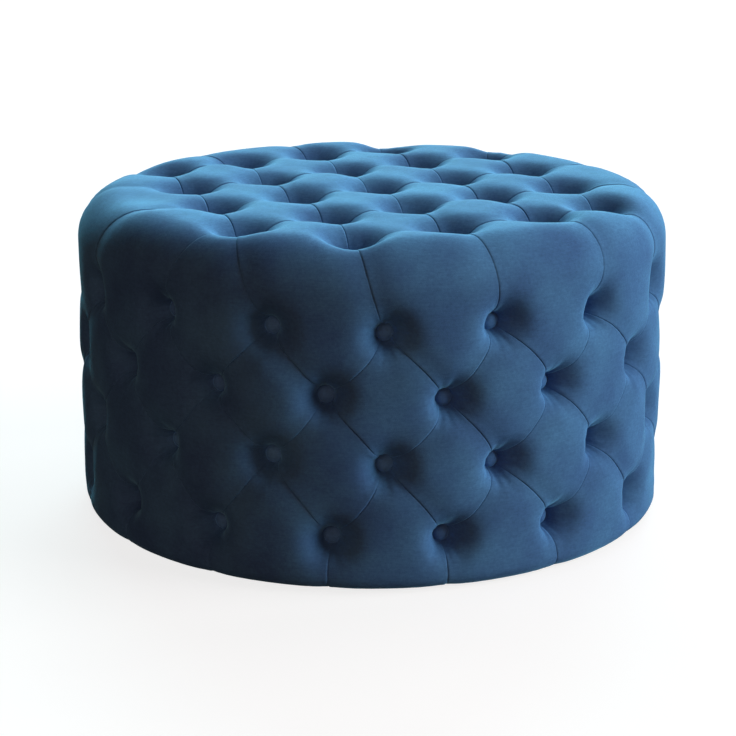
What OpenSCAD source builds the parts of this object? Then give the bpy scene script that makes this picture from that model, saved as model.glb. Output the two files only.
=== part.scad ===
// Round deep-buttoned storage ottoman with a lift-off lid.
// One velvet skin seems to run from the top to the floor. The lid and the body part along the
// pleats between the first and second rows of side buttons, so the parting line is a zigzag
// that no straight seam gives away. Sixteen tongues of the lid drop between sixteen of the body.
// Origin: centre of the footprint, on the floor. +Z is up and -Y is the front. Millimetres.

/* [Overall] */
// Diameter across the fullest part of the side
outer_d = 800; // [790:5:820]
// Height from the floor to the crown of the top
height = 440; // [438:1:446]
// Rounding of the shoulder between the top and the side
shoulder_r = 60; // [50:1:64]
// Rounding of the bottom edge
hem_r = 18; // [12:1:22]
// Thickness of the cover with its wadding
cover_t = 3; // [2:0.5:4]
// Thickness of foam and cover outside the frame
pad_t = 60; // [58:1:62]

/* [Side buttons] */
// Buttons in each row round the side
per_row = 16; // [16:1:16]
// Angle of the first button of rows 1 and 3 from the front, towards +X
phase = 2.5; // [0:0.5:5]
// Height of row 1, which belongs to the lid
row_1_z = 332; // [330:1:336]
// Height of row 2, the first row of the body
row_2_z = 248; // [244:1:250]
// Height of row 3
row_3_z = 160; // [150:1:170]
// Height of row 4
row_4_z = 66; // [62:1:80]

/* [Top buttons] */
// First step of the top grid, towards the back left: across
grid_v_x = -45; // [-50:1:-40]
// First step of the top grid: back
grid_v_y = 132; // [126:1:134]
// Second step of the top grid, towards the back right: across
grid_w_x = 106; // [100:1:107]
// Second step of the top grid: back
grid_w_y = 67; // [62:1:69]
// How far the grid's middle button stands to the right of the centre
grid_shift = 6; // [0:1:6]

/* [Button] */
// Radius of a covered button
button_r = 11.5; // [10:0.5:12]
// Height of a covered button from its back to its crown
button_h = 8; // [7:0.5:9]
// Depth of the buttons' crowns below the fullest part of the top
button_depth = 44; // [42:1:46]
// Radius of the well round a button, at the cover
well_r = 32; // [28:1:34]
// Radius of the twine
twine_r = 1; // [0.8:0.1:1.2]

/* [Frame] */
// Thickness of the plywood boards and rings
board_t = 18; // [15:1:18]
// Thickness of the bent hardboard walls
panel_t = 5; // [4:0.5:5]
// Width of the plywood rings
ring_w = 46; // [44:1:48]
// Number of posts, blocks, rest pads and glides
post_n = 8; // [8:1:8]
// Width of a post
post_w = 30; // [24:1:30]
// Width of a lid block
block_w = 32; // [28:1:32]
// Height of the glides
glide_h = 4; // [3:0.5:5]

/* [Lid] */
// Clearance across the parting line, measured upwards
seam_gap = 1.2; // [1:0.1:2]
// How far the parting line keeps from the middle of a button
seam_offset = 14; // [13:0.5:15]
// How far the locating ring drops into the mouth of the body
ring_drop = 16; // [12:1:20]

/* [Hidden] */
$fn = 96;
eps = 0.01;
glue = 0.2;                                  // clearance between curved faces that touch
screw_gap = 0.1;                             // clearance round a screw or a pin
washer_gap = 0.15;                           // a flat washer's edge clears the curved wall behind it
step = 360 / per_row;
outer_r = outer_d / 2;
frame_r = outer_r - pad_t;                   // boards and rings
panel_in = frame_r + 1;                      // bent walls, between frame and foam
panel_out = panel_in + panel_t;
side_button_back = panel_out + 13;           // leaves 13 of foam behind a side button
base_z = glide_h + cover_t;                  // underside of the base board
lower_ring_z = base_z + board_t;
post_z = lower_ring_z + board_t;
lid_board_top = height - pad_t;
lid_board_z = lid_board_top - board_t;
top_button_back = height - button_depth - button_h;
seam_top = row_1_z - seam_offset;
seam_bottom = row_2_z + seam_offset;
mouth_z = 299;                               // top of the upper ring, the mouth of the body
upper_ring_z = mouth_z - board_t;
mouth_r = frame_r - ring_w;
liner_t = 2;
liner_out = mouth_r - 2;
liner_in = liner_out - liner_t;
floor_t = 5;                                 // storage floor panel
rest_pad_t = 1.7;
block_z = mouth_z + 2;                       // underside of the lid blocks
locator_out = mouth_r - 3;
locator_t = 6;
locator_in = locator_out - locator_t;
locator_z = mouth_z - ring_drop;
locator_h = 62;
lid_lining_z = locator_z + locator_h;
washer_r = 6;
washer_t = 2;
knot_r = 3.2;
hole_r = 3;                                  // holes for twine in boards and walls
foam_hole_r = 2.5;
foam_hole_h = 16;                            // reaches through the foam behind any button
screw_r = 2;
screw_head_r = 4;
screw_head_h = 3;
glide_r = 12;
glide_pin_r = 1.5;
glide_pin_h = 12;
fixing_r = frame_r - ring_w / 2;             // circle of the screws and glides
flange_in = mouth_r + 2;                     // inner edge of the cover's turn-under
dust_r = fixing_r - glide_r - 2;
staple_n = 48;
row_z = [0, row_1_z, row_2_z, row_3_z, row_4_z];

// Buttons that hand tufting left off their places.
// Side: row, number in the row, along the row, up.
side_wander = [[1, 0, 0, -5], [1, 1, -9, 1], [1, 2, -10, -2], [1, 15, 4, -1], [2, 0, 2, -6],
               [2, 1, -3, -3], [2, 2, 6, 0], [3, 1, -6, -5], [3, 2, -3, -3], [3, 13, -10, 0],
               [3, 15, 3, 6], [4, 2, 8, -6], [4, 15, 6, 0]];
// Top: steps along v and w, across, back.
top_wander = [[-2, -1, -13, 8], [-2, 1, 14, 0], [-2, 2, -6, 3], [2, 1, 0, -8]];

// ---- places ----

function side_off(row, k) =
    let (found = [for (o = side_wander) if (o[0] == row && o[1] == k) [o[2], o[3]]])
    len(found) > 0 ? found[0] : [0, 0];
function row_angle(row, k) = phase + step * (k + (row % 2 == 0 ? 0.5 : 0));
function side_angle(row, k) = row_angle(row, k) + side_off(row, k)[0] / side_button_back * 180 / PI;
function top_off(v, w) =
    let (found = [for (o = top_wander) if (o[0] == v && o[1] == w) [o[2], o[3]]])
    len(found) > 0 ? found[0] : [0, 0];
function top_place(v, w) = [grid_shift + v * grid_v_x + w * grid_w_x, v * grid_v_y + w * grid_w_y]
                           + top_off(v, w);
function post_angle(n) = row_angle(1, 0) + step / 4 + 360 / post_n * n;
function block_angle(n) = row_angle(2, 1) + 360 / post_n * n;

// Puts a child that faces +X at an angle from the front, towards +X
module polar(angle, r = 0, z = 0)
    rotate([0, 0, angle - 90]) translate([r, 0, z]) children();

// Puts a child that points along +Z at each button of a side row, pointing outwards
module each_side_button(row, r)
    for (k = [0 : per_row - 1])
        polar(side_angle(row, k), r, row_z[row] + side_off(row, k)[1]) rotate([0, 90, 0]) children();

// The top grid is five by five, less its two sharp corners
module each_top_button(z)
    for (v = [-2 : 2], w = [-2 : 2])
        if (v * w != 4) translate([top_place(v, w)[0], top_place(v, w)[1], z]) children();

module each_of(n, first, r, z)
    for (i = [0 : n - 1]) polar(first + 360 / n * i, r, z) children();

module tube(r_in, r_out, h)
    difference() {
        cylinder(r = r_out, h = h);
        translate([0, 0, -1]) cylinder(r = r_in, h = h + 2);
    }

// ---- the parting line ----

// Everything above the zigzag, raised by shift
module above_seam(shift) {
    rise = seam_top - seam_bottom;
    half_w = outer_r * tan(step / 2);
    over = 2;
    translate([0, 0, seam_top + shift]) cylinder(r = outer_r + 20, h = height);
    for (k = [0 : per_row - 1])
        polar(row_angle(2, k), mouth_r, seam_bottom + shift)
            rotate([90, 0, 90])
                linear_extrude(outer_r + 20 - mouth_r)
                    polygon([[0, 0],
                             [half_w * (rise + over) / rise, rise + over],
                             [-half_w * (rise + over) / rise, rise + over]]);
}

// ---- profiles, as radius and height ----

module lid_profile(inset) {
    r = outer_r - inset;
    round_r = shoulder_r - inset;
    centre = [outer_r - shoulder_r, height - shoulder_r];
    translate([0, height - shoulder_r]) square([centre[0], round_r]);
    translate([0, seam_bottom - 10]) square([r, centre[1] - seam_bottom + 10]);
    intersection() {
        translate(centre) circle(round_r);
        translate(centre) square(round_r + 1);
    }
}

module body_profile(inset) {
    r = outer_r - inset;
    round_r = hem_r - inset;
    centre = [outer_r - hem_r, glide_h + hem_r];
    translate([0, glide_h + inset]) square([centre[0], round_r + eps]);
    translate([0, centre[1]]) square([r, seam_top + 10 - centre[1]]);
    intersection() {
        translate(centre) circle(round_r);
        translate(centre + [0, -round_r - 1]) square(round_r + 1);
    }
}

// ---- repeated pieces, each pointing along +Z from its back ----

module button() {
    crown = 4.5;
    dome_r = (button_r * button_r + crown * crown) / (2 * crown);
    intersection() {
        cylinder(r = button_r, h = button_h);
        translate([0, 0, button_h - dome_r]) sphere(r = dome_r);
    }
}

// Room for a button and its twine in the foam and the cover
module well(depth) {
    floor_r = button_r + 1.5;
    rotate_extrude()
        polygon([[0, -foam_hole_h], [foam_hole_r, -foam_hole_h], [foam_hole_r, 0],
                 [floor_r, 0], [well_r, depth], [0, depth]]);
}

// Twine from a button's back, at z = 0, through wall_t of frame to a knot behind the washer
module twine(wall_t) {
    length = wall_t + washer_t;
    translate([0, 0, -length - knot_r]) cylinder(r = twine_r, h = length + knot_r);
    translate([0, 0, -length - knot_r]) sphere(r = knot_r);
}

module washer()
    difference() {
        cylinder(r = washer_r, h = washer_t);
        translate([0, 0, -1]) cylinder(r = hole_r - 1, h = washer_t + 2);
    }

// Countersunk screw, head up at z = 0; grow makes its hole
module screw(length, grow = 0) {
    translate([0, 0, -length]) cylinder(r = screw_r + grow, h = length);
    translate([0, 0, -screw_head_h])
        cylinder(r1 = screw_r + grow, r2 = screw_head_r + grow, h = screw_head_h + (grow > 0 ? eps : 0));
}

side_well_depth = outer_r - side_button_back + 1;
top_well_depth = height - top_button_back + 1;
side_wall_t = side_button_back - panel_in + washer_gap;
top_wall_t = top_button_back - lid_board_z;
block_screw_l = 42;
ring_screw_l = 38;
base_screw_l = 60;
locator_screw_l = 22;

// ---- lid ----

module lid_cover()
    color("steelblue")
        difference() {
            intersection() {
                rotate_extrude() difference() {
                    lid_profile(0);
                    lid_profile(cover_t);
                    square([frame_r, lid_board_top]);
                }
                above_seam(seam_gap);
            }
            each_side_button(1, side_button_back) well(side_well_depth);
            each_top_button(top_button_back) well(top_well_depth);
        }

module lid_top_foam()
    color("khaki")
        difference() {
            rotate_extrude() intersection() {
                lid_profile(cover_t + glue);
                translate([0, lid_board_top]) square([outer_r, pad_t]);
            }
            each_top_button(top_button_back) well(top_well_depth);
        }

module lid_side_foam()
    color("khaki")
        difference() {
            intersection() {
                translate([0, 0, seam_bottom])
                    tube(panel_out + glue, outer_r - cover_t - glue, lid_board_top - seam_bottom);
                above_seam(seam_gap);
            }
            each_side_button(1, side_button_back) well(side_well_depth);
        }

module lid_top_board()
    color("burlywood")
        difference() {
            translate([0, 0, lid_board_z]) cylinder(r = frame_r, h = board_t);
            each_top_button(lid_board_z - 1) cylinder(r = hole_r, h = board_t + 2);
            each_of(post_n, block_angle(0), fixing_r, lid_board_top)
                screw(block_screw_l, screw_gap);
        }

module lid_skirt()
    color("peru")
        difference() {
            intersection() {
                translate([0, 0, seam_bottom]) tube(panel_in, panel_out, lid_board_top - seam_bottom);
                above_seam(seam_gap);
            }
            each_side_button(1, panel_in - 2) cylinder(r = hole_r, h = panel_t + 4);
        }

module lid_blocks()
    color("burlywood")
        for (i = [0 : post_n - 1])
            polar(block_angle(i)) difference() {
                intersection() {
                    translate([locator_out - 5, -block_w / 2, block_z])
                        cube([frame_r - locator_out + 10, block_w, lid_board_z - block_z]);
                    translate([0, 0, block_z])
                        tube(locator_out + glue, frame_r - glue, lid_board_z - block_z);
                }
                translate([fixing_r, 0, lid_board_top]) screw(block_screw_l, screw_gap);
                translate([locator_in, 0, block_z + 20])
                    rotate([0, -90, 0]) screw(locator_screw_l, screw_gap);
            }

module locating_ring()
    color("burlywood")
        difference() {
            translate([0, 0, locator_z]) tube(locator_in, locator_out, locator_h);
            each_of(post_n, block_angle(0), locator_in, block_z + 20)
                rotate([0, -90, 0]) screw(locator_screw_l, screw_gap);
        }

module lid_lining()
    color("dimgray")
        translate([0, 0, lid_lining_z]) cylinder(r = locator_out, h = 1.5);

module lid_top_buttons()
    color("steelblue") each_top_button(top_button_back) button();

module lid_side_buttons()
    color("steelblue") each_side_button(1, side_button_back) button();

module lid_top_twines()
    color("ivory") each_top_button(top_button_back) twine(top_wall_t);

module lid_side_twines()
    color("ivory") each_side_button(1, side_button_back) twine(side_wall_t);

module lid_top_washers()
    color("silver") each_top_button(lid_board_z - washer_t) washer();

module lid_side_washers()
    color("silver") each_side_button(1, panel_in - washer_gap - washer_t) washer();

module lid_block_screws()
    color("silver")
        each_of(post_n, block_angle(0), fixing_r, lid_board_top) screw(block_screw_l);

module locating_ring_screws()
    color("silver")
        each_of(post_n, block_angle(0), locator_in, block_z + 20)
            rotate([0, -90, 0]) screw(locator_screw_l);

// ---- body ----

module body_cover()
    color("steelblue")
        difference() {
            rotate_extrude() difference() {
                body_profile(0);
                translate([0, base_z]) square([frame_r, height]);
                body_profile(cover_t);
                square([flange_in, base_z + 1]);
            }
            above_seam(0);
            for (row = [2 : 4]) each_side_button(row, side_button_back) well(side_well_depth);
            each_of(post_n, post_angle(0) + step, fixing_r, 0)
                cylinder(r = glide_pin_r + screw_gap, h = base_z + 1);
        }

module body_foam()
    color("khaki")
        difference() {
            rotate_extrude() difference() {
                body_profile(cover_t + glue);
                square([panel_out + glue, height]);
            }
            above_seam(0);
            for (row = [2 : 4]) each_side_button(row, side_button_back) well(side_well_depth);
        }

module wall_panel()
    color("peru")
        difference() {
            translate([0, 0, base_z]) tube(panel_in, panel_out, seam_top - base_z);
            above_seam(0);
            for (row = [2 : 4])
                each_side_button(row, panel_in - 2) cylinder(r = hole_r, h = panel_t + 4);
        }

module base_board()
    color("burlywood")
        difference() {
            translate([0, 0, base_z]) cylinder(r = frame_r, h = board_t);
            each_of(post_n, post_angle(0), fixing_r, base_z)
                rotate([180, 0, 0]) screw(base_screw_l, screw_gap);
            each_of(post_n, post_angle(0) + step, fixing_r, base_z - 1)
                cylinder(r = glide_pin_r + screw_gap, h = glide_pin_h + 1);
        }

module frame_ring(z)
    translate([0, 0, z]) tube(mouth_r, frame_r, board_t);

module lower_ring()
    color("burlywood")
        difference() {
            frame_ring(lower_ring_z);
            each_of(post_n, post_angle(0), fixing_r, base_z)
                rotate([180, 0, 0]) screw(base_screw_l, screw_gap);
        }

module upper_ring()
    color("burlywood")
        difference() {
            frame_ring(upper_ring_z);
            each_of(post_n, post_angle(0), fixing_r, mouth_z) screw(ring_screw_l, screw_gap);
        }

module post(n)
    color("burlywood")
        polar(post_angle(n - 1)) difference() {
            translate([mouth_r + 3, -post_w / 2, post_z])
                cube([ring_w - 6, post_w, upper_ring_z - post_z]);
            translate([fixing_r, 0, base_z]) rotate([180, 0, 0]) screw(base_screw_l, screw_gap);
            translate([fixing_r, 0, mouth_z]) screw(ring_screw_l, screw_gap);
        }

module storage_liner()
    color("dimgray")
        translate([0, 0, lower_ring_z + floor_t])
            tube(liner_in, liner_out, upper_ring_z - lower_ring_z - floor_t);

module storage_floor()
    color("dimgray")
        translate([0, 0, lower_ring_z]) cylinder(r = liner_out, h = floor_t);

module rest_pads()
    color("black")
        each_of(post_n, block_angle(0), fixing_r, mouth_z) cylinder(r = 10, h = rest_pad_t);

module row_buttons(row)
    color("steelblue") each_side_button(row, side_button_back) button();

module row_twines(row)
    color("ivory") each_side_button(row, side_button_back) twine(side_wall_t);

module row_washers(row)
    color("silver") each_side_button(row, panel_in - washer_gap - washer_t) washer();

module upper_ring_screws()
    color("silver")
        each_of(post_n, post_angle(0), fixing_r, mouth_z) screw(ring_screw_l);

module base_screws()
    color("silver")
        each_of(post_n, post_angle(0), fixing_r, base_z) rotate([180, 0, 0]) screw(base_screw_l);

module dust_cover()
    color("black")
        translate([0, 0, glide_h - 1]) cylinder(r = dust_r, h = 1);

module glides()
    color("black")
        each_of(post_n, post_angle(0) + step, fixing_r, 0) {
            cylinder(r = glide_r, h = glide_h);
            cylinder(r = glide_pin_r, h = base_z + glide_pin_h - 1);
        }

// Crowns lie on the turned-under hem; legs go through it into the base board
module hem_staples()
    color("silver")
        each_of(staple_n, post_angle(0) + step / 2, frame_r - 6, glide_h) {
            translate([-0.5, -5, -0.7]) cube([1, 10, 0.7]);
            for (side = [-5, 4]) translate([-0.5, side, -0.1]) cube([1, 1, cover_t + 8]);
        }

lid_cover();
lid_top_foam();
lid_side_foam();
lid_top_board();
lid_skirt();
lid_blocks();
locating_ring();
lid_lining();
lid_top_buttons();
lid_side_buttons();
lid_top_twines();
lid_side_twines();
lid_top_washers();
lid_side_washers();
lid_block_screws();
locating_ring_screws();
body_cover();
body_foam();
wall_panel();
base_board();
lower_ring();
upper_ring();
post(1);  // post_1
post(2);  // post_2
post(3);  // post_3
post(4);  // post_4
post(5);  // post_5
post(6);  // post_6
post(7);  // post_7
post(8);  // post_8
storage_liner();
storage_floor();
rest_pads();
row_buttons(2);  // buttons_row_2
row_buttons(3);  // buttons_row_3
row_buttons(4);  // buttons_row_4
row_twines(2);  // twines_row_2
row_twines(3);  // twines_row_3
row_twines(4);  // twines_row_4
row_washers(2);  // washers_row_2
row_washers(3);  // washers_row_3
row_washers(4);  // washers_row_4
upper_ring_screws();
base_screws();
dust_cover();
glides();
hem_staples();
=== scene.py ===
"""Looks of the deep-buttoned storage ottoman: velvet over foam, covered buttons and the frame's finishes.

Metres throughout, in the CAD's frame: -Y is the front, +Z is up and the floor is z = 0.
The cover is the plain outer form of part.scad, drawn in along its own normal by a depth. The depth is
worked out from the CAD's buttons and from the pleats that join them. Each pillow between pleats is one
cell, and a cell's grid follows its pleats, so every crease is a line of the mesh.
"""

import math

import bmesh
import bpy
import numpy as np
from mathutils import Matrix, Vector


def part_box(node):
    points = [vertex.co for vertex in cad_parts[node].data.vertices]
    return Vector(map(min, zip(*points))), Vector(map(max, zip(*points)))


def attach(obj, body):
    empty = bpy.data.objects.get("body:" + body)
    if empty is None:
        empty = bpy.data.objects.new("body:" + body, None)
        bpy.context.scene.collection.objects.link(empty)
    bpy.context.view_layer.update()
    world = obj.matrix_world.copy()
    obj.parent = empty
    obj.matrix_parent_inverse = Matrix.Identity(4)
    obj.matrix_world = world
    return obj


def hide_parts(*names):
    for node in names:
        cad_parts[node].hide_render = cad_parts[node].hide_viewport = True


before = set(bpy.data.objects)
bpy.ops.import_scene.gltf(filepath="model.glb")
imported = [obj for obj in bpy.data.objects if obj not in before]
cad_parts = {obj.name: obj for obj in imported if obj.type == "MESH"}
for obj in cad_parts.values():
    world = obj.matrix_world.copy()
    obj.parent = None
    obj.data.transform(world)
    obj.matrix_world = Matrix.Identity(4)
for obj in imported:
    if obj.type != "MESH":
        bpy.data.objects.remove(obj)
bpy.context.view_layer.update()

# ---- sizes: from the frame, and as in part.scad where a box doesn't give them ----

OUTER_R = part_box("lid_cover")[1].x          # fullest part of the side
TOP_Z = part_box("lid_cover")[1].z            # crown of the top
HEM_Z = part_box("body_cover")[0].z           # underside of the cover
BOARD_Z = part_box("lid_top_board")[1].z      # top of the lid's board
WALL_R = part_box("wall_panel")[1].x          # outside of the bent wall
BUTTON_TOP_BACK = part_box("lid_top_buttons")[0].z
BUTTON_SIDE_BACK = WALL_R + 0.013
BUTTON_R = 0.0115
SHOULDER_R = 0.060
HEM_R = 0.018
FLANGE_R = 0.297                            # inner edge of the turn-under
GRID_V = np.array([-0.045, 0.132])          # steps of the skewed grid of top buttons
GRID_W = np.array([0.106, 0.067])
GRID_HALF = 2                               # steps from the middle button to the grid's edge
PART_REACH = 0.03                           # a button's points lie within this of each other

# ---- how fine the meshes are ----

CELL_STEPS = 26       # grid steps from a pleat to the middle of its pillow
FOAM_STEPS = 8
GRADING = 2.6                               # how much finer the grid is at the pleats

# ---- pits: how far the buttons draw the cover in ----

RIM_H = 0.0035                              # a button's rim above its back, where the cover meets it
TOP_PIT = TOP_Z - BUTTON_TOP_BACK - RIM_H   # depth of the cover at a button's rim
SIDE_PIT = OUTER_R - BUTTON_SIDE_BACK - RIM_H
UNDER_BUTTON = 0.0030                       # extra depth beneath a button
UNDER_R = 0.006                             # where that depth is reached
CUP_NEAR = 0.0085                           # the steep last part of a pit falls away over this length
TOP_BOWL = (0.037, 0.036)                   # depth and reach of the broad part of a pit
SIDE_BOWL = (0.028, 0.025)
BOWL_ASIDE, BOWL_UP = 0.006, 0.004          # on the side a pit opens to the right of its button, and up
PIT_REACH = 0.095                           # a pit ends here
STOP_SOFTNESS = 0.0012                      # how gently the depth ends at its limit
GATHER = 0.0013                             # size of the small folds round a button
GATHER_REACH = 0.006                        # where they are deepest, from the rim
GATHER_FOLDS = (4, 6, 9, 13)                # waves round a button that they are made of

# ---- pleats ----

SIDE_GROOVE, TOP_GROOVE, SHOULDER_GROOVE = 0.0014, 0.0020, 0.0008
GROOVE_UNEVEN = 0.15                        # share by which grooves differ in depth
GROOVE_NEAR, GROOVE_FAR = 0.006, 0.024      # reach of the steep and of the broad part of a groove
GROOVE_STEEP = 0.35                         # share of the steep part
GROOVE_REACH = 0.060                        # a groove ends here
GROOVE_START = 0.025                        # a groove grows over this length from its button
CREASE_DEPTH, CREASE_WIDTH = 0.0011, 0.0006
FOLD_STEP = 0.0005                          # one side of a pleat lies over the other
FOLD_RISE, FOLD_FALL = 0.002, 0.003         # lengths over which that step rises and dies away
BOW = 0.0016                                # spread of the pleats' slight bows
LEAN = 0.007                                # the side's slanting pleats all bow the same way round
UNDERFOLD = 0.030                           # how far pleats run under the hem

# ---- pillows ----

SWELL = 0.002                               # how far a pillow stands out
CROWN_SPREAD = 0.0012                       # how much that differs from pillow to pillow
UNEVEN = 0.0011                             # size of the slow waves all over the cover
WAVE_LENGTHS = (0.012, 0.012, 0.02, 0.02, 0.03)
FULL_AT = 0.022                             # a pillow is full at this distance from its pleats
SWELL_LOW, SWELL_HIGH = 0.006, 0.045        # heights between which the swell fades in above the floor

# ---- the parting line and the foam ----

SWAP_R = 0.0130                             # round a button the cover belongs to the button's body
PARTING_GAP = 0.0005                        # each side of the parting line stands back this far
TURN_IN_GAP = 0.0008                        # between the turned-in cover and the bent wall
FOAM_STEEPER = 1.3                          # the foam is drawn in more than the cover by this factor
FOAM_INSET = 0.0040                         # and by this much besides
FOAM_CLEAR = 0.014                          # the foam stands back this far round the steep part of a pit
FOAM_PARTING = 0.0016                       # its edge stands back this far from the parting line
FOAM_GAP, BOARD_GAP = 0.0005, 0.0004        # between the foam and the wall or the board behind it
FOAM_SWAP_R = SWAP_R + 0.005                # there is none round the other body's buttons

# ---- a covered button ----

DOME_H, DOME_R = 0.0096, 0.0106             # crown above the button's back, and edge of the dome
DOME_DROP, DOME_POWER = 0.0052, 2.7         # how far the dome falls to its edge, and how late
ROLL_ACROSS, ROLL_UP = 0.0029, 0.0024       # half axes of the rolled rim
ROLL_LOW = 0.0005                           # its lowest point, above the button's back
ROLL_START = 35                             # where it begins below the dome, in degrees
BACK_H = 0.0002                             # middle of the covered back
ASKEW = 0.06                                # spread of the buttons' tilt, in radians

rng = np.random.default_rng(20)


# ---- the outer form ----

S_TOP = OUTER_R - SHOULDER_R
S_SHOULDER = S_TOP + SHOULDER_R * math.pi / 2
S_SIDE = S_SHOULDER + TOP_Z - SHOULDER_R - HEM_Z - HEM_R
S_HEM = S_SIDE + HEM_R * math.pi / 2
S_EDGE = S_HEM + UNDERFOLD


def profile(s):
    """Radius, height and outward normal at length s from the middle of the top, down to the underside."""
    round_top = np.clip((s - S_TOP) / SHOULDER_R, 0, math.pi / 2)
    round_hem = np.clip((s - S_SIDE) / HEM_R, 0, math.pi / 2)
    down = np.clip(s - S_SHOULDER, 0, S_SIDE - S_SHOULDER)
    inward = np.maximum(s - S_HEM, 0)
    r = np.minimum(s, S_TOP) + SHOULDER_R * np.sin(round_top) - HEM_R * (1 - np.cos(round_hem)) - inward
    z = TOP_Z - SHOULDER_R * (1 - np.cos(round_top)) - down - HEM_R * np.sin(round_hem)
    turn = round_top + round_hem
    return r, z, np.sin(turn), np.cos(turn)


def height_to_s(z):
    """Length s at a height on the straight part of the side."""
    return S_SHOULDER + TOP_Z - SHOULDER_R - z


def to_polar(plane):
    """(angle from the front, radius) of points (x, y); on the flat top the radius is the length s."""
    x, y = plane[..., 0], plane[..., 1]
    return np.stack([np.arctan2(x, -y), np.hypot(x, y)], -1)


def to_plane(polar):
    """The other way round: points (x, y) at (angle from the front, radius)."""
    angle, r = polar[..., 0], polar[..., 1]
    return np.stack([r * np.sin(angle), -r * np.cos(angle)], -1)


def on_form(polar):
    """Points of the outer form, and its outward normals, at (angle from the front, length s)."""
    r, z, normal_r, normal_z = profile(polar[..., 1])
    sin, cos = np.sin(polar[..., 0]), np.cos(polar[..., 0])
    points = np.stack([r * sin, -r * cos, z], -1)
    normals = np.stack([normal_r * sin, -normal_r * cos, normal_z], -1)
    return points, normals


def wrap(angle):
    """The same angle between minus and plus half a turn."""
    return (angle + math.pi) % (2 * math.pi) - math.pi


# ---- buttons and pleats ----

def part_centres(node):
    """Middles of a CAD node's loose parts, which here stand well apart."""
    points = np.array([v.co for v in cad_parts[node].data.vertices], float)
    found = []
    while len(points):
        near = np.linalg.norm(points - points[0], axis=1) < PART_REACH
        found.append((points[near].min(0) + points[near].max(0)) / 2)
        points = points[~near]
    return found


class Knot:
    """A button, or the end of a pleat at the hem: a corner of cells."""

    def __init__(self, polar, body=None, grid=None):
        self.polar = np.array(polar, float)
        self.body = body
        self.grid = grid                    # (v, w) on the top
        self.is_button = body is not None
        self.place, self.normal = on_form(self.polar)
        across = np.cross([0, 0, 1.0], self.normal) if grid is None else np.array([1.0, 0, 0])
        self.across = across / np.linalg.norm(across)
        self.along = np.cross(self.normal, self.across)
        self.gather_phase = rng.uniform(0, 2 * math.pi, len(GATHER_FOLDS))
        self.gather_size = rng.uniform(0.4, 1.0, len(GATHER_FOLDS))


def side_knots(node, body):
    """The knots of a CAD node's side buttons, in no order."""
    return [Knot((math.atan2(c[0], -c[1]), height_to_s(c[2])), body) for c in part_centres(node)]


def nearest_to(knots, angles):
    """The knot nearest each angle, in the angles' order."""
    return [min(knots, key=lambda k: abs(wrap(k.polar[0] - a))) for a in angles]


def read_side():
    """Four rows of knots. Rows 1 and 3 share their angles.

    Number k of rows 2 and 4 stands between numbers k and k + 1 of row 1.
    """
    first = sorted(side_knots("lid_side_buttons", "lid"), key=lambda k: k.polar[0] % (2 * math.pi))
    angles = [k.polar[0] for k in first]
    between = [a + wrap(b - a) / 2 for a, b in zip(angles, angles[1:] + angles[:1])]
    return [first] + [nearest_to(side_knots(f"buttons_row_{n}", "base"), a)
                      for n, a in ((2, between), (3, angles), (4, between))]


def read_top():
    """The knots of the top by their steps (v, w) on the skewed grid."""
    centres = [np.array(c[:2]) for c in part_centres("lid_top_buttons")]
    middle = min(centres, key=np.linalg.norm)
    to_grid = np.linalg.inv(np.stack([GRID_V, GRID_W], 1))
    grid = {tuple(int(n) for n in np.round(to_grid @ (c - middle))): c for c in centres}
    return {g: Knot(to_polar(c), "lid", g) for g, c in sorted(grid.items())}


class Pleat:
    """A crease from one knot to another, straight on the outer form apart from a slight bow."""

    def __init__(self, start, end, groove, lean=0.0, samples=12):
        self.ends = (start, end)
        self.flat = start.grid is not None and end.grid is not None
        self.groove = groove * rng.uniform(1 - GROOVE_UNEVEN, 1 + GROOVE_UNEVEN)
        self.bow = rng.normal(0, BOW)
        self.lean = lean
        self.lap = 1 if start.grid is None or rng.uniform() < 0.5 else -1
        self.line, normals = on_form(self.polar(np.linspace(0, 1, samples + 1)))
        steps = np.diff(self.line, axis=0)
        self.length = np.linalg.norm(steps, axis=1).sum()
        side = np.cross(normals[:-1] + normals[1:], steps)
        if not self.flat:
            side *= np.where(side[:, 2:] < 0, -1, 1)
        self.side = self.lap * side / np.linalg.norm(side, axis=1)[:, None]

    def polar(self, share):
        """(angle, length s) at shares of the way from the first knot to the second."""
        start, end = (k.place[:2] if self.flat else k.polar for k in self.ends)
        if not self.flat:
            end = np.array([start[0] + wrap(end[0] - start[0]), end[1]])
        scale = np.array([1, 1]) if self.flat else np.array([OUTER_R, 1])
        run = (end - start) * scale
        off = np.array([-run[1], run[0]]) / np.linalg.norm(run) / scale
        arch = np.sin(math.pi * share)
        points = start + (end - start) * share[:, None] + off * (self.bow * arch)[:, None]
        points[:, 0] += 0 if self.flat else self.lean / OUTER_R * arch
        return to_polar(points) if self.flat else points

    def nearest(self, points):
        """Distance to the pleat, distance along it to its nearer button, and which side each point is on."""
        a, step = self.line[:-1], np.diff(self.line, axis=0)
        rel = points[:, None, :] - a[None]
        share = np.clip((rel * step).sum(-1) / (step * step).sum(-1), 0, 1)
        off = rel - share[..., None] * step
        gap = np.sqrt((off * off).sum(-1))
        best = gap.argmin(1)
        rows = np.arange(len(points))
        travelled = (best + share[rows, best]) / len(step) * self.length
        if self.ends[1].is_button:
            travelled = np.minimum(travelled, self.length - travelled)
        where = np.sign((off[rows, best] * self.side[best]).sum(-1))
        return gap[rows, best], travelled, where


side_rows = read_side()
top_knots = read_top()
per_row = len(side_rows[0])
hem = [Knot((k.polar[0], S_EDGE)) for k in side_rows[3]]
rim = sorted((k for g, k in top_knots.items() if max(map(abs, g)) == GRID_HALF), key=lambda k: k.polar[0])
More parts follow.
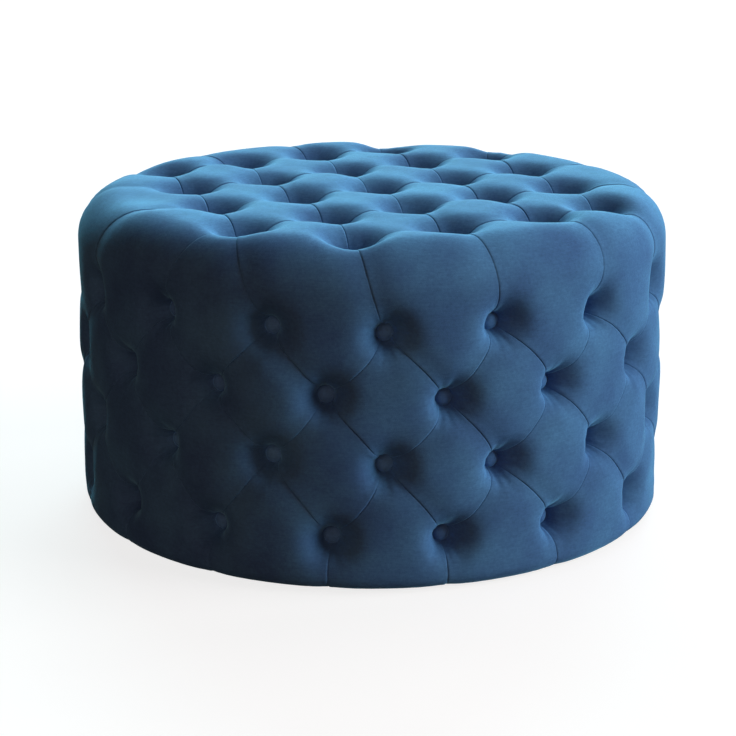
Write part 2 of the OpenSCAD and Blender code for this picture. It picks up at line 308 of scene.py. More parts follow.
# For each button of row 1, the number in rim of the button that its pleat runs to over the shoulder
rim_of = [min(range(len(rim)), key=lambda i: abs(wrap(rim[i].polar[0] - k.polar[0]))) for k in side_rows[0]]
pleats = {}


def add_pleat(start, end, groove, lean=0.0):
    """A pleat, to be found again by its two ends."""
    pleats[frozenset((id(start), id(end)))] = Pleat(start, end, groove, lean)


def make_pleats():
    """The pleats of the top, over the shoulder, between the rows of the side and down to the hem."""
    for (v, w), knot in top_knots.items():
        for other in ((v + 1, w), (v, w + 1)):
            if other in top_knots:
                add_pleat(knot, top_knots[other], TOP_GROOVE)
    for number, knot in enumerate(side_rows[0]):
        add_pleat(rim[rim_of[number]], knot, SHOULDER_GROOVE)
    for k in range(per_row):
        for upper, lower, other in ((0, 1, k - 1), (1, 2, (k + 1) % per_row), (2, 3, k - 1)):
            add_pleat(side_rows[upper][k], side_rows[lower][k], SIDE_GROOVE, LEAN)
            add_pleat(side_rows[upper][k], side_rows[lower][other], SIDE_GROOVE, LEAN)
        add_pleat(side_rows[3][k], hem[k], SIDE_GROOVE)


make_pleats()
parting = [p for p in pleats.values() if {p.ends[0].body, p.ends[1].body} == {"lid", "base"}]


# ---- cells ----

def graded(steps):
    """Shares from 0 to 1, closer together near 0."""
    return np.expm1(GRADING * np.arange(steps + 1) / steps) / math.expm1(GRADING)


def whole_edge():
    """Shares along a whole edge of a cell, where the cover's points lie on it."""
    half = graded(CELL_STEPS) / 2
    return np.concatenate([half, 1 - half[-2::-1]])


class Cell:
    """One pillow: its corners in order, and the piece that it is part of."""

    def __init__(self, corners, piece):
        self.corners = corners
        self.piece = piece
        self.flat = all(c.grid is not None for c in corners)
        self.angle = corners[0].polar[0]
        self.crown = rng.normal(0, CROWN_SPREAD)

    def own(self, polar):
        """The cell's own coordinates: (x, y) on the top, otherwise (angle, length s) without a jump."""
        if self.flat:
            return to_plane(polar)
        return np.stack([self.angle + wrap(polar[..., 0] - self.angle), polar[..., 1]], -1)

    def edge(self, i, share):
        """Points at shares of the way from corner i to the next."""
        a, b = self.corners[i], self.corners[(i + 1) % len(self.corners)]
        pleat = pleats.get(frozenset((id(a), id(b))))
        if pleat is None:                   # the open edge under the hem
            a, b = self.own(a.polar), self.own(b.polar)
            return a + (b - a) * share[:, None]
        return self.own(pleat.polar(share if pleat.ends[0] is a else 1 - share))

    def patches(self, steps):
        """A square grid of (angle, length s) for each corner, finer towards the pleats."""
        share = graded(steps)
        middle = np.mean([self.own(c.polar) for c in self.corners], axis=0)
        u, v = share[None, :, None], share[:, None, None]
        for i in range(len(self.corners)):
            ahead, behind = self.edge(i, share / 2), self.edge(i - 1, 1 - share / 2)
            corner, mid_a, mid_b = ahead[0], ahead[-1], behind[-1]
            inner_a = mid_a + (middle - mid_a) * share[:, None]
            inner_b = mid_b + (middle - mid_b) * share[:, None]
            between_rows = (1 - v) * ahead[None] + v * inner_b[None]
            grid = (between_rows + (1 - u) * behind[:, None] + u * inner_a[:, None]
                    - (1 - u) * (1 - v) * corner - u * (1 - v) * mid_a - (1 - u) * v * mid_b - u * v * middle)
            yield to_polar(grid) if self.flat else grid


def top_path(first, last):
    """Corners from one rim button to another along the rim, by way of the button inside a cut corner."""
    path = [rim[first]]
    while first != last:
        first = (first + 1) % len(rim)
        (v, w), (v2, w2) = path[-1].grid, rim[first].grid
        if abs(v - v2) + abs(w - w2) == 2:
            inside = (v if abs(v) < abs(v2) else v2, w if abs(w) < abs(w2) else w2)
            path.append(top_knots[inside])
        path.append(rim[first])
    return path


def make_cells():
    """The pillows of the top, the shoulder and the three bands of the side."""
    made = []
    for v in range(-GRID_HALF, GRID_HALF):
        for w in range(-GRID_HALF, GRID_HALF):
            corners = ((v, w), (v + 1, w), (v + 1, w + 1), (v, w + 1))
            if all(g in top_knots for g in corners):
                made.append(Cell([top_knots[g] for g in corners], "lid_velvet_top"))
    first, second, third, fourth = side_rows
    for k in range(per_row):
        after = (k + 1) % per_row
        over = top_path(rim_of[k], rim_of[after])
        made.append(Cell([*over, first[after], second[k], first[k]], "lid_velvet_shoulder"))
        made.append(Cell([first[k], second[k], third[k], second[k - 1]], "body_velvet_upper"))
        made.append(Cell([second[k], third[after], fourth[k], third[k]], "body_velvet_middle"))
        made.append(Cell([third[k], fourth[k], hem[k], hem[k - 1], fourth[k - 1]], "body_velvet_hem"))
    return made


cells = make_cells()
knots = [*top_knots.values(), *(k for row in side_rows for k in row)]
waves = [(rng.normal(size=3) / length, rng.uniform(0, 2 * math.pi)) for length in WAVE_LENGTHS]


# ---- depth of the cover ----

def window(distance, reach):
    """1 at no distance, and exactly 0 from reach on, so that far pleats leave no step between cells."""
    return np.clip(1 - (distance / reach) ** 2, 0, 1) ** 2


def smooth(x, low, high):
    """0 up to low, 1 from high on, and a smooth rise between them."""
    t = np.clip((x - low) / (high - low), 0, 1)
    return t * t * (3 - 2 * t)


def bowl(knot, points):
    """Depth of the broad part of a button's pit."""
    middle = knot.place
    most, reach = TOP_BOWL
    if knot.grid is None:
        middle = middle + BOWL_ASIDE * knot.across + BOWL_UP * knot.along
        most, reach = SIDE_BOWL
    away = np.linalg.norm(points - middle, axis=1)
    return most * np.exp(-(away / reach) ** 2) * window(away, PIT_REACH)


def cup(knot, points, clear):
    """Depth of the steep last part of a button's pit."""
    away = np.linalg.norm(points - knot.place, axis=1)
    most = SIDE_PIT if knot.grid is None else TOP_PIT
    return most * np.exp(-np.maximum(away - BUTTON_R - clear, 0) / CUP_NEAR) * window(away, PIT_REACH)


def gathers(knot, points):
    """Small folds round a button, and the cloth's fall beneath it."""
    rel = points - knot.place
    away = np.linalg.norm(rel, axis=1)
    out = np.maximum(away - BUTTON_R, 0) / GATHER_REACH
    angle = np.arctan2(rel @ knot.along, rel @ knot.across)
    ripple = sum(size * np.cos(n * angle + phase)
                 for n, size, phase in zip(GATHER_FOLDS, knot.gather_size, knot.gather_phase))
    under = UNDER_BUTTON * (1 - smooth(away, UNDER_R, BUTTON_R))
    return GATHER / 2 * ripple * out * np.exp(1 - out) * window(away, PIT_REACH) + under


def deepest(points):
    """The cover's depth beneath the buttons of the side, or of the top."""
    return np.where(points[:, 2] < TOP_Z - SHOULDER_R, SIDE_PIT, TOP_PIT) + UNDER_BUTTON


def depth(points, crown=0.0, clear=0.0):
    """How far the cover lies inside the outer form at each point of it."""
    middle = points.mean(0)
    reach = np.linalg.norm(points - middle, axis=1).max()
    close = [k for k in knots if np.linalg.norm(k.place - middle) < reach + PIT_REACH]
    total = sum(bowl(k, points) ** 4 + cup(k, points, clear) ** 4 for k in close) ** 0.25
    total = total + sum(gathers(k, points) for k in close)
    crease = np.zeros(len(points))
    closest = np.full(len(points), GROOVE_REACH)
    for p in pleats.values():
        if np.linalg.norm(p.line - middle, axis=1).min() > reach + GROOVE_REACH:
            continue
        gap, from_end, where = p.nearest(points)
        grown = 1 - np.exp(-(from_end / GROOVE_START) ** 2)
        steep, broad = np.exp(-gap / GROOVE_NEAR), np.exp(-(gap / GROOVE_FAR) ** 2)
        groove = p.groove * (GROOVE_STEEP * steep + (1 - GROOVE_STEEP) * broad)
        lap = FOLD_STEP * where * (gap / FOLD_RISE) * np.exp(-gap / FOLD_FALL)
        total = total + (groove - lap) * grown * window(gap, GROOVE_REACH)
        crease = np.maximum(crease, CREASE_DEPTH * np.exp(-gap / CREASE_WIDTH))
        closest = np.minimum(closest, gap)
    total = total + crease
    fullness = (1 - np.exp(-(closest / FULL_AT) ** 2)) * np.clip(1 - total / TOP_PIT, 0, 1)
    wave = sum(np.sin(points @ along + phase) for along, phase in waves) / len(waves)
    clear_of_floor = smooth(points[:, 2], SWELL_LOW, SWELL_HIGH)
    total = total - (SWELL + crown + 2 * UNEVEN * wave) * fullness * clear_of_floor
    limit = deepest(points)
    return limit - np.logaddexp(0, (limit - total) / STOP_SOFTNESS) * STOP_SOFTNESS


# ---- meshes ----

def new_piece(name, points, faces, material, body, replaces=(), slot=None, weld=3e-5):
    """A mesh piece that rides on a body. Points closer than weld become one."""
    mesh = bpy.data.meshes.new(name)
    mesh.from_pydata(np.asarray(points).tolist(), [], np.asarray(faces).tolist())
    if weld:
        bm = bmesh.new()
        bm.from_mesh(mesh)
        bmesh.ops.remove_doubles(bm, verts=bm.verts, dist=weld)
        bmesh.ops.dissolve_degenerate(bm, edges=bm.edges, dist=1e-6)
        bm.to_mesh(mesh)
        bm.free()
    mesh.shade_smooth()
    mesh.materials.append(material)
    piece = bpy.data.objects.new(name, mesh)
    bpy.context.scene.collection.objects.link(piece)
    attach(piece, body)
    if replaces:
        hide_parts(*replaces)
    return piece


def grid_faces(rows, columns, first=0):
    """Quads of a grid of points that is stored row by row."""
    corner = np.arange(rows * columns).reshape(rows, columns) + first
    return np.stack([corner[:-1, :-1], corner[:-1, 1:], corner[1:, 1:], corner[1:, :-1]], -1).reshape(-1, 4)


def facing(points, faces, direction):
    """The faces, turned round if they face away on the whole from direction, one or one for each point."""
    a, b, c, d = (points[faces[:, i]] for i in range(4))
    normal = np.cross(c - a, d - b)
    wanted = np.broadcast_to(direction, points.shape)[faces[:, 0]]
    return faces if (normal * wanted).sum() > 0 else faces[:, ::-1]


def at_radius(points, radius):
    """The points' directions from the axis, at another radius and at height 0."""
    flat = points * [1, 1, 0]
    return flat / np.linalg.norm(flat, axis=1)[:, None] * radius


class Sheet:
    """Points and faces of a piece as it is put together."""

    def __init__(self):
        self.points = []
        self.faces = []
        self.total = 0

    def add(self, points, faces):
        """More points, with faces that number them from 0."""
        self.points.append(points)
        self.faces.append(faces + self.total)
        self.total += len(points)

    def arrays(self):
        """All points and all faces so far."""
        return np.concatenate(self.points), np.concatenate(self.faces)


def cover_sheets():
    """The cover's outer skin by piece. Close to a button it belongs to the button's body."""
    sheets = {c.piece: Sheet() for c in cells}
    across = {"lid": "lid_velvet_shoulder", "base": "body_velvet_upper"}
    for cell in cells:
        grids = [g.reshape(-1, 2) for g in cell.patches(CELL_STEPS)]
        form, normals = on_form(np.concatenate(grids))
        points = form - normals * depth(form, cell.crown)[:, None]
        size = len(grids[0])
        body = "lid" if cell.piece.startswith("lid") else "base"
        for i, corner in enumerate(cell.corners):
            part = slice(i * size, (i + 1) * size)
            faces = facing(points[part], grid_faces(CELL_STEPS + 1, CELL_STEPS + 1), normals[part])
            if corner.body in (None, body):
                sheets[cell.piece].add(points[part], faces)
                continue
            near = np.linalg.norm(form[part][faces].mean(1) - corner.place, axis=1) < SWAP_R
            sheets[cell.piece].add(points[part], faces[~near])
            sheets[across[corner.body]].add(points[part], faces[near])
    return sheets


def add_turn_ins(sheets, depths=7):
    """Cover that turns in along the parting line, from the bottom of the crease to the bent wall."""
    for p in parting:
        form, normals = on_form(p.polar(whole_edge()))
        clear = np.minimum(*(np.linalg.norm(form - k.place, axis=1) for k in p.ends)) > SWAP_R - 0.001
        form, normals = form[clear], normals[clear]
        crease = form - normals * depth(form)[:, None]
        wall = at_radius(crease, WALL_R + TURN_IN_GAP) + crease * [0, 0, 1]
        part = np.linspace(0, 1, depths)[:, None, None]
        strip = crease * (1 - part) + wall * part
        for piece, up in (("lid_velvet_shoulder", 1), ("body_velvet_upper", -1)):
            lifted = strip + np.array([0, 0, up * PARTING_GAP]) * np.minimum(part * 6, 1)
            points = lifted.reshape(-1, 3)
            faces = grid_faces(depths, len(form))
            sheets[piece].add(points, facing(points, faces, [0, 0, -up]))


def add_flange(sheet, rings=5):
    """The cover's flat turn-under, from the pleats' ends in to its inner edge."""
    for cell in (c for c in cells if c.piece == "body_velvet_hem"):
        form, normals = on_form(cell.edge(2, whole_edge()))
        edge = form - normals * depth(form)[:, None]
        inner = at_radius(form, FLANGE_R) + np.array([0, 0, HEM_Z])
        part = np.linspace(0, 1, rings)[:, None, None]
        points = (edge * (1 - part) + inner * part).reshape(-1, 3)
        sheet.add(points, facing(points, grid_faces(rings, len(form)), [0, 0, -1]))


def inner_form(polar):
    """The foam's inside: the lid's board and the bent walls, at the same (angle, length s)."""
    angle, length = polar[..., 0], polar[..., 1]
    board_edge, wall_top, wall_foot = S_TOP + 0.02, S_SHOULDER + 0.06, S_SIDE
    wall, board = WALL_R + FOAM_GAP, BOARD_Z + BOARD_GAP
    r = np.interp(length, [0, board_edge, board_edge + 0.001], [0, wall, wall])
    z = np.interp(length, [0, board_edge, wall_top, wall_foot, S_EDGE],
                  [board, board, TOP_Z - SHOULDER_R - 0.06, HEM_Z + HEM_R, HEM_Z + 0.0045])
    return np.stack([r * np.sin(angle), -r * np.cos(angle), z], -1)


def merged(outer, inner, faces):
    """The points without repeats and unused ones. Inner points follow their outer ones."""
    _, first, back = np.unique(np.round(outer, 5), axis=0, return_index=True, return_inverse=True)
    outer, inner, faces = outer[first], inner[first], back.reshape(-1)[faces]
    used, faces = np.unique(faces, return_inverse=True)
    return outer[used], inner[used], faces.reshape(-1, 4)


def open_edges(faces):
    """The edges that only one face has."""
    edges = dict.fromkeys((a, b) for face in faces for a, b in zip(face, np.roll(face, -1)))
    return [(a, b) for a, b in edges if (b, a) not in edges]


def foam_block(name, pieces, body, replaces, material):
    """A closed block of foam just inside the cover of the named pieces."""
    skin, inside = Sheet(), []
    for cell in (c for c in cells if c.piece in pieces):
        for grid, corner in zip(cell.patches(FOAM_STEPS), cell.corners):
            polar = grid.reshape(-1, 2)
            form, normals = on_form(polar)
            inset = FOAM_STEEPER * depth(form, cell.crown, FOAM_CLEAR) + FOAM_INSET
            inset = np.minimum(inset, deepest(form))
            faces = facing(form, grid_faces(FOAM_STEPS + 1, FOAM_STEPS + 1), normals)
            if corner.body not in (None, body):
                away = np.linalg.norm(form[faces].mean(1) - corner.place, axis=1)
                faces = faces[away > FOAM_SWAP_R]
            skin.add(form - normals * inset[:, None], faces)
            inside.append(inner_form(polar))
    points, faces = skin.arrays()
    outer, inner, faces = merged(points, np.concatenate(inside), faces)
    edges = open_edges(faces)
    border = np.unique(edges)
    back = FOAM_PARTING if body == "lid" else -FOAM_PARTING
    outer[border, 2] += back
    inner[border, 2] += back
    walls = np.array([(b, a, a + len(outer), b + len(outer)) for a, b in edges])
    closed = np.concatenate([faces, faces[:, ::-1] + len(outer), walls])
    return new_piece(name, np.concatenate([outer, inner]), closed, material, body, replaces, "foam", 0)


def button_outline():
    """Radius and height of a covered button, from its crown over the rolled rim to the middle of its back."""
    dome_r = DOME_R * np.sin(np.radians(np.linspace(0, 90, 11)))
    dome_h = DOME_H - DOME_DROP * (dome_r / DOME_R) ** DOME_POWER
    turn = np.radians(np.linspace(ROLL_START, -90, 9))
    rim_r = BUTTON_R - ROLL_ACROSS + ROLL_ACROSS * np.cos(turn)
    rim_h = ROLL_LOW + ROLL_UP + ROLL_UP * np.sin(turn)
    return np.concatenate([dome_r, rim_r, [0]]), np.concatenate([dome_h, rim_h, [BACK_H]])


def covered_button(knot, back, seed, around=48):
    """A covered button's points and faces, with puckered cloth round its edge, slightly askew."""
    own = np.random.default_rng(seed)
    radius, height = button_outline()
    turn = np.linspace(0, 2 * math.pi, around, endpoint=False)
    pucker = 1 + 0.006 * np.sin(9 * turn + own.uniform(0, 6)) + 0.004 * np.sin(15 * turn + own.uniform(0, 6))
    r = radius[:, None] * np.where(radius[:, None] > 0.0095, pucker, 1)
    local = np.stack([r * np.cos(turn), r * np.sin(turn), np.repeat(height[:, None], around, 1)], -1)
    tilt = Matrix.Rotation(own.normal(0, ASKEW), 3, "X") @ Matrix.Rotation(own.normal(0, ASKEW), 3, "Y")
    pivot = np.array([0, 0, 0.003])
    local = (local.reshape(-1, 3) - pivot) @ np.array(tilt).T + pivot
    axes = np.stack([knot.across, knot.along, knot.normal])
    points = knot.place + knot.normal * back + local @ axes
    start = np.arange(len(radius) - 1) * around
    last = np.stack([start + around - 1, start, start + around, start + 2 * around - 1], -1)
    return points, np.concatenate([grid_faces(len(radius), around), last])[:, ::-1]


def buttons(name, row, node, back, body):
    """One piece with all of a CAD node's buttons. back is how far out from the form their backs lie."""
    sheet = Sheet()
    first_seed = 100 + 31 * len(name)
    for number, knot in enumerate(row):
        sheet.add(*covered_button(knot, back, first_seed + number))
    return new_piece(name, *sheet.arrays(), BUTTON_VELVET_PAINTED_LIGHT, body, (node,), "velvet", 1e-5)


# ---- materials ----

class Finish:
    """A procedural material in the object's own coordinates, in metres."""

    def __init__(self, name, color, roughness, **constant):
        self.material = bpy.data.materials.new(name)
        self.material.use_nodes = True
        self.nodes, self.links = self.material.node_tree.nodes, self.material.node_tree.links
        self.shader = self.nodes["Principled BSDF"]
        self.set("Base Color", (*color, 1))
        self.set("Roughness", roughness)
        for socket, value in constant.items():
            self.set(socket.replace("_", " "), value)
        self.place = self.nodes.new("ShaderNodeTexCoord").outputs["Object"]

    def set(self, socket, value):
        """A value that is the same all over, on the shader itself."""
        self.shader.inputs[socket].default_value = value

    def plug(self, socket, value):
        """Links a node's socket to another node's output, or sets its value."""
        if isinstance(value, bpy.types.NodeSocket):
            self.links.new(value, socket)
        else:
            socket.default_value = value

    def add(self, kind, inputs=None, **settings):
        """A node with its settings, and its inputs by name."""
        node = self.nodes.new("ShaderNode" + kind)
        for key, value in settings.items():
            setattr(node, key, value)
        for socket, value in (inputs or {}).items():
            self.plug(node.inputs[socket], value)
        return node

    def noise(self, scale, detail=2.0, stretch=(1, 1, 1)):
        """Noise from 0 to 1, finer by stretch along each axis."""
        place = self.add("Mapping", {"Vector": self.place, "Scale": stretch}).outputs[0]
        return self.add("TexNoise", {"Vector": place, "Scale": scale, "Detail": detail}).outputs[0]

    def threads(self, scale, direction):
        """Rows of threads across one axis, slightly uneven."""
        inputs = {"Vector": self.place, "Scale": scale, "Distortion": 0.4}
        return self.add("TexWave", inputs, bands_direction=direction).outputs[1]

    def ramp(self, value, *stops):
        """Colours at places along a value from 0 to 1."""
        node = self.add("ValToRGB", {"Fac": value})
        while len(node.color_ramp.elements) < len(stops):
            node.color_ramp.elements.new(0.5)
        for element, (place, color) in zip(node.color_ramp.elements, stops):
            element.position = place
            element.color = (*color, 1)
        return node.outputs[0]

    def mix(self, a, b, share, blend="MIX"):
        """Two colours together; a Mix node has its colours in sockets 6 and 7, and its result in 2."""
        node = self.add("Mix", data_type="RGBA", blend_type=blend)
        for socket, value in ((0, share), (6, a), (7, b)):
            self.plug(node.inputs[socket], value)
        return node.outputs[2]

    def shade(self, color, pattern, share, *stops):
        """A colour multiplied by a pattern's ramp, in part."""
        return self.mix(color, self.ramp(pattern, *stops), share, "MULTIPLY")

    def math(self, operation, a, b=0.0):
        """One or two values through a Math node."""
        node = self.add("Math", operation=operation)
        for i, value in enumerate((a, b)):
            self.plug(node.inputs[i], value)
        return node.outputs[0]

    def color(self, socket):
        """The shader's colour, from a node."""
        self.links.new(socket, self.shader.inputs["Base Color"])
        return self

    def rough(self, value, low, high):
        """The shader's roughness, between low and high by a pattern."""
        node = self.add("MapRange", {"Value": value, "To Min": low, "To Max": high})
        self.links.new(node.outputs[0], self.shader.inputs["Roughness"])
        return self

    def bump(self, height, distance, strength=1.0):
        """Fine relief from a pattern, its height in metres."""
        node = self.add("Bump", {"Height": height, "Distance": distance, "Strength": strength})
        self.links.new(node.outputs[0], self.shader.inputs["Normal"])
        return self


VELVET_BLUE = np.array([0.060, 0.170, 0.352])


def velvet(name, light):
    """Short-pile velvet, with a painted sheen in its base colour: darkest face on, and brighter where the
    surface is seen from its side.
    """
    f = Finish(name, VELVET_BLUE * light, 0.85, Sheen_Weight=0.55, Sheen_Roughness=0.30,
               Sheen_Tint=(0.25, 0.72, 1.0, 1), Specular_IOR_Level=0.1)
    stroked = f.noise(13, 4)
    rows = f.noise(70, 2, (1, 1, 10))
    pile = f.noise(260, 3)
    grain = f.noise(1500, 2)
    # painted sheen: the base colour grows lighter from face on to edge-on
    edge = f.add("LayerWeight", {"Blend": 0.5}).outputs["Facing"]
    face, turned, side_on_sheen = (VELVET_BLUE * light * k for k in (1.0, 1.10, 1.60))
    color = f.ramp(edge, (0.10, face), (0.50, turned), (0.90, side_on_sheen))
    color = f.shade(color, stroked, 1.0, (0.32, (0.80, 0.76, 0.84)), (0.70, (1.15, 1.20, 1.14)))
    color = f.shade(color, rows, 1.0, (0.30, (0.92, 0.92, 0.93)), (0.70, (1.05, 1.05, 1.05)))
    color = f.shade(color, pile, 0.45, (0.25, (0.62, 0.62, 0.65)), (0.75, (1.15, 1.15, 1.15)))
    color = f.shade(color, grain, 0.35, (0.3, (0.7, 0.7, 0.72)), (0.7, (1.15, 1.15, 1.15)))
    f.color(color)
    return f.bump(f.math("ADD", f.math("MULTIPLY", pile, 0.5), grain), 0.0004, 0.5).material


def foam_finish():
    """Cream upholstery foam with open pores, their darker colour painted shade."""
    f = Finish("upholstery_foam", (0.86, 0.82, 0.66), 0.95, Specular_IOR_Level=0.2)
    pores = f.add("TexVoronoi", {"Vector": f.place, "Scale": 700.0}).outputs[0]
    # painted shade: darker colour in the pores
    f.color(f.ramp(pores, (0.05, (0.55, 0.50, 0.34)), (0.5, (0.88, 0.84, 0.66))))
    return f.bump(pores, 0.0006).material


PLY_PAIR = 0.0032                           # thickness of two plies


def grained(name, dark, light, along, plies=None):
    """Wood whose grain runs along one axis. plies is the axis across its layers, if it is plywood."""
    f = Finish(name, light, 0.6)
    stretch = [26.0, 26.0, 26.0]
    stretch[along] = 2.0
    rings = f.noise(6, 5, stretch)
    color = f.ramp(rings, (0.35, dark), (0.62, light))
    fibre = f.noise(90, 3, [s / 6 for s in stretch])
    if plies is not None:
        axis = f.add("SeparateXYZ", {"Vector": f.place}).outputs[plies]
        band = f.math("PINGPONG", f.math("MULTIPLY", axis, 1 / PLY_PAIR), 0.5)
        layer = f.ramp(band, (0.40, (1.0, 1.0, 1.0)), (0.60, (0.62, 0.52, 0.42)))
        sides = f.add("SeparateXYZ", {"Vector": f.add("NewGeometry").outputs["Normal"]}).outputs[2]
        on_edge = f.math("SUBTRACT", 1.0, f.math("ABSOLUTE", sides))
        color = f.mix(color, layer, on_edge, "MULTIPLY")
    f.color(color)
    f.rough(fibre, 0.5, 0.75)
    return f.bump(f.math("ADD", rings, fibre), 0.0003, 0.5).material


def hardboard():
    """Brown board of pressed fibre."""
    f = Finish("hardboard", (0.22, 0.13, 0.07), 0.7)
    fibre = f.noise(420, 4)
    f.color(f.ramp(fibre, (0.3, (0.13, 0.075, 0.04)), (0.7, (0.27, 0.165, 0.09))))
    return f.bump(fibre, 0.0002, 0.6).material


def woven(name, dark, light, threads, rough=0.9):
    """Plain cloth: rows of threads both ways, over a slight unevenness."""
    f = Finish(name, light, rough, Sheen_Weight=0.2)
    cloth = f.math("MULTIPLY", f.threads(threads, "Z"), f.threads(threads, "X"))
    woven_color = f.ramp(cloth, (0.1, dark), (0.8, light))
    uneven_color = f.ramp(f.noise(40, 3), (0.3, dark), (0.7, light))
    f.color(f.mix(woven_color, uneven_color, 0.3))
    return f.bump(cloth, 0.0003).material


def metal(name, color, rough):
    """Plated steel, a little worn."""
    f = Finish(name, color, rough, Metallic=1.0)
    wear = f.noise(300, 4)
    f.color(f.ramp(wear, (0.3, tuple(c * 0.75 for c in color)), (0.7, color)))
    f.rough(wear, rough * 0.8, rough * 1.3)
    return f.bump(f.noise(900, 2), 0.00005).material


def speckled(name, dark, light, rough, scale, relief):
    """Felt, moulded plastic and other plain things with a fine texture."""
    f = Finish(name, light, rough)
    speck = f.noise(scale, 4)
    f.color(f.ramp(speck, (0.3, dark), (0.7, light)))
    return f.bump(speck, relief, 0.7).material


VELVET = velvet("velvet", 1.0)
BUTTON_VELVET_PAINTED_LIGHT = velvet("button_velvet_painted_light", 1.4)        # painted light: a lighter copy of the velvet, so that buttons shaded in their pits look lit
FOAM = foam_finish()
PLYWOOD = grained("birch_plywood", (0.52, 0.37, 0.21), (0.70, 0.55, 0.36), 0, 2)
POST_WOOD = grained("post_wood", (0.50, 0.33, 0.17), (0.68, 0.50, 0.30), 2)
HARDBOARD = hardboard()
LINING = woven("lining", (0.055, 0.058, 0.065), (0.16, 0.165, 0.18), 520)
DUST_CLOTH = woven("dust_cloth", (0.012, 0.012, 0.013), (0.045, 0.045, 0.047), 380)
TWINE = woven("twine", (0.50, 0.46, 0.36), (0.80, 0.76, 0.66), 900)
STEEL = metal("zinced_steel", (0.62, 0.63, 0.65), 0.32)
STAPLE = metal("staple_steel", (0.55, 0.55, 0.56), 0.4)
FELT = speckled("felt", (0.10, 0.10, 0.11), (0.22, 0.22, 0.23), 0.95, 900, 0.0005)
PLASTIC = speckled("glide_plastic", (0.025, 0.025, 0.027), (0.05, 0.05, 0.053), 0.5, 1200, 0.0001)

# By a node's name or by its first word, and by any of its words
FINISH_OF = {"lid_top_board": PLYWOOD, "lid_blocks": PLYWOOD, "locating_ring": PLYWOOD, "base_board": PLYWOOD,
             "lower_ring": PLYWOOD, "upper_ring": PLYWOOD, "post": POST_WOOD, "lid_skirt": HARDBOARD,
             "wall_panel": HARDBOARD, "storage_floor": LINING, "storage_liner": LINING, "lid_lining": LINING,
             "dust_cover": DUST_CLOTH, "rest_pads": FELT, "glides": PLASTIC, "hem_staples": STAPLE}
FINISH_OF_WORD = {"screws": STEEL, "washers": STEEL, "twines": TWINE}


def finish_nodes():
    """Gives every CAD node that shows its material."""
    for name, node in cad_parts.items():
        words = name.split("_")
        found = FINISH_OF.get(name) or FINISH_OF.get(words[0])
        for word, material in FINISH_OF_WORD.items():
            found = material if word in words else found
        if found:
            node.data.materials.clear()
            node.data.materials.append(found)


# ---- the ottoman ----

def make_cover():
    """The velvet, in two pieces on the lid and three on the body."""
    sheets = cover_sheets()
    add_turn_ins(sheets)
    add_flange(sheets["body_velvet_hem"])
    stands_for = {"lid_velvet_top": ("lid_cover",), "body_velvet_upper": ("body_cover",)}
    for name, sheet in sheets.items():
        body = "lid" if name.startswith("lid") else "base"
        piece = new_piece(name, *sheet.arrays(), VELVET, body, stands_for.get(name, ()), "velvet")


def make_foam():
    """A block of foam behind the velvet of each body."""
    over_lid = ("lid_velvet_top", "lid_velvet_shoulder")
    over_body = ("body_velvet_upper", "body_velvet_middle", "body_velvet_hem")
    lid = foam_block("lid_foam", over_lid, "lid", ("lid_top_foam", "lid_side_foam"), FOAM)
    body = foam_block("body_foam_block", over_body, "base", ("body_foam",), FOAM)


def make_buttons():
    """The covered buttons of the top and of the side's four rows."""
    top_back, side_back = BUTTON_TOP_BACK - TOP_Z, BUTTON_SIDE_BACK - OUTER_R
    buttons("covered_buttons_top", top_knots.values(), "lid_top_buttons", top_back, "lid")
    buttons("covered_buttons_row_1", side_rows[0], "lid_side_buttons", side_back, "lid")
    for n in (2, 3, 4):
        buttons(f"covered_buttons_row_{n}", side_rows[n - 1], f"buttons_row_{n}", side_back, "base")


make_cover()
make_foam()
make_buttons()
finish_nodes()


# ---- floor, light and camera ----

FLOOR_GLOW = 0.80                           # keeps shadows faint on the floor


def make_floor():
    """A pale floor that takes soft shadows and throws no light up at the object."""
    mesh = bpy.data.meshes.new("floor")
    mesh.from_pydata([(-9, -6, 0), (9, -6, 0), (9, 12, 0), (-9, 12, 0)], [], [(0, 1, 2, 3)])
    f = Finish("pale_floor", (0.3, 0.3, 0.3), 0.8, Specular_IOR_Level=0.0, Emission_Color=(1, 1, 1, 1),
               Emission_Strength=FLOOR_GLOW)
    f.color(f.ramp(f.noise(3, 3), (0.3, (0.29, 0.29, 0.29)), (0.7, (0.31, 0.31, 0.31))))
    mesh.materials.append(f.material)
    floor = bpy.data.objects.new("floor", mesh)
    bpy.context.scene.collection.objects.link(floor)
    floor.visible_diffuse = floor.visible_glossy = False


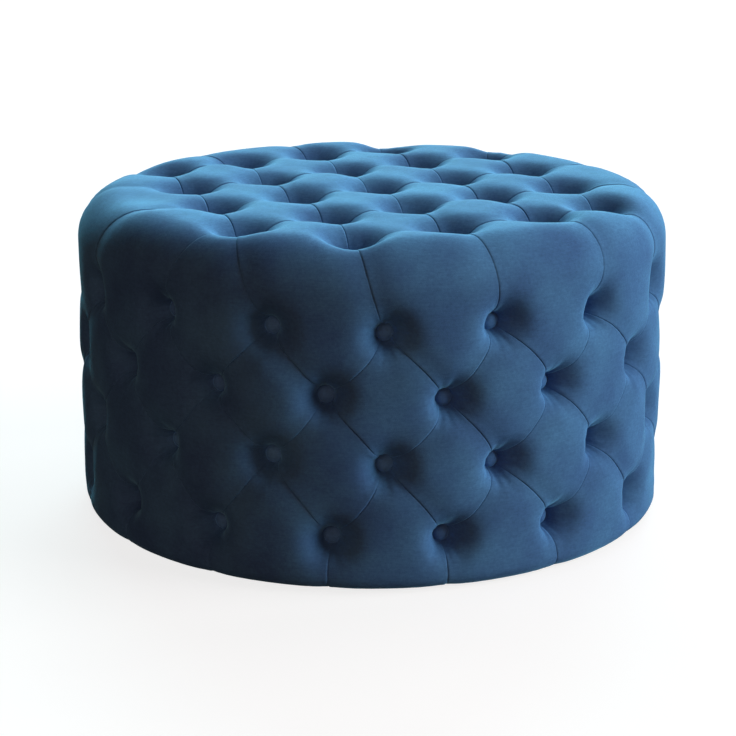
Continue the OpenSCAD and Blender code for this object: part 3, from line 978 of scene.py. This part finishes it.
def soft_sun(name, azimuth, elevation, spread, strength, color=(1, 1, 1)):
    """A broad, even light from far off. Azimuth is from the front towards +X; angles are in degrees."""
    turn, rise = math.radians(azimuth), math.radians(elevation)
    data = bpy.data.lights.new(name, "SUN")
    data.energy = strength
    data.angle = math.radians(spread)
    data.color = color
    light = bpy.data.objects.new(name, data)
    level = math.cos(rise)
    towards = Vector((math.sin(turn) * level, -math.cos(turn) * level, math.sin(rise)))
    light.rotation_euler = towards.to_track_quat("Z", "Y").to_euler()
    light.location = towards * 3
    bpy.context.scene.collection.objects.link(light)


def make_world():
    """A white backdrop that gives only a little light of its own."""
    world = bpy.data.worlds.new("studio")
    bpy.context.scene.world = world
    world.use_nodes = True
    tree = world.node_tree
    seen = tree.nodes.new("ShaderNodeLightPath").outputs["Is Camera Ray"]
    either = tree.nodes.new("ShaderNodeMixShader")
    tree.links.new(seen, either.inputs[0])
    for i, (color, strength) in enumerate((((0.85, 0.92, 1.0, 1), 0.01), ((1, 1, 1, 1), 1.0))):
        light = tree.nodes.new("ShaderNodeBackground")
        light.inputs["Color"].default_value = color
        light.inputs["Strength"].default_value = strength
        tree.links.new(light.outputs[0], either.inputs[1 + i])
    tree.links.new(either.outputs[0], tree.nodes["World Output"].inputs[0])


def make_camera():
    """The photograph's view: from the front and a little above, with the lens shifted."""
    distance, tilt, aim_z = 2.780, math.radians(13.35), 0.306
    data = bpy.data.cameras.new("camera")
    data.lens = 97.75
    data.sensor_width = 36
    data.shift_x, data.shift_y = -0.0042, -0.12
    camera = bpy.data.objects.new("camera", data)
    camera.location = (0, -distance * math.cos(tilt), aim_z + distance * math.sin(tilt))
    camera.rotation_euler = (math.pi / 2 - tilt, 0, 0)
    bpy.context.scene.collection.objects.link(camera)
    bpy.context.scene.camera = camera


make_floor()
make_world()
make_camera()
soft_sun("key", 82, 17, 45, 3.15)
soft_sun("upper", 150, 45, 50, 1.0)
soft_sun("back", 180, 22, 50, 3.2, (0.50, 0.95, 1.0))
soft_sun("fill", -10, 10, 60, 0.8, (1.0, 0.52, 0.36))
bpy.context.scene.view_settings.view_transform = "Standard"
